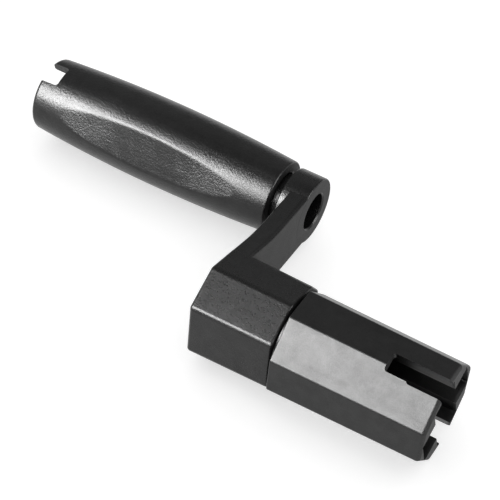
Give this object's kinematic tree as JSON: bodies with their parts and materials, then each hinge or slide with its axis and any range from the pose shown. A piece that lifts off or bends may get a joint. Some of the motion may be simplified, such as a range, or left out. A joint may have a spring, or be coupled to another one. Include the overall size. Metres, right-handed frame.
{
  "type": "string winder",
  "caption": "Hand-cranked string winder: octagonal peg socket with a cross-shaped mouth, offset crank arm, and a barrel grip that spins and has a bridge-pin notch.",
  "frame": {"origin": "the middle of the underside of the whole winder's bounding box", "axes": "+X along the socket's axis towards its open mouth, +Y along the crank arm towards the grip's axis, +Z square to both, up when the winder lies on a table"},
  "size_m": [0.1368, 0.065, 0.0261],
  "materials": {
    "crank_plastic": "satin black moulding with lightly textured flats",
    "grip_plastic": "satin black barrel with matt almond-shaped flats",
    "socket_plastic": "semi-gloss black moulding"
  },
  "bodies": {
    "crank": {"crank": "crank_plastic"},
    "grip": {"grip": "grip_plastic"},
    "socket": {"socket": "socket_plastic"}
  },
  "joints": [
    {"name": "grip_spin", "type": "hinge", "parent": "crank", "child": "grip", "pos_m": [-0.02855, 0.02132, 0.01306], "axis": [1, 0, 0], "continuous": true},
    {"name": "socket_pull_off", "type": "slide", "parent": "crank", "child": "socket", "axis": [1, 0, 0], "range_m": [0, 0.014]}
  ]
}
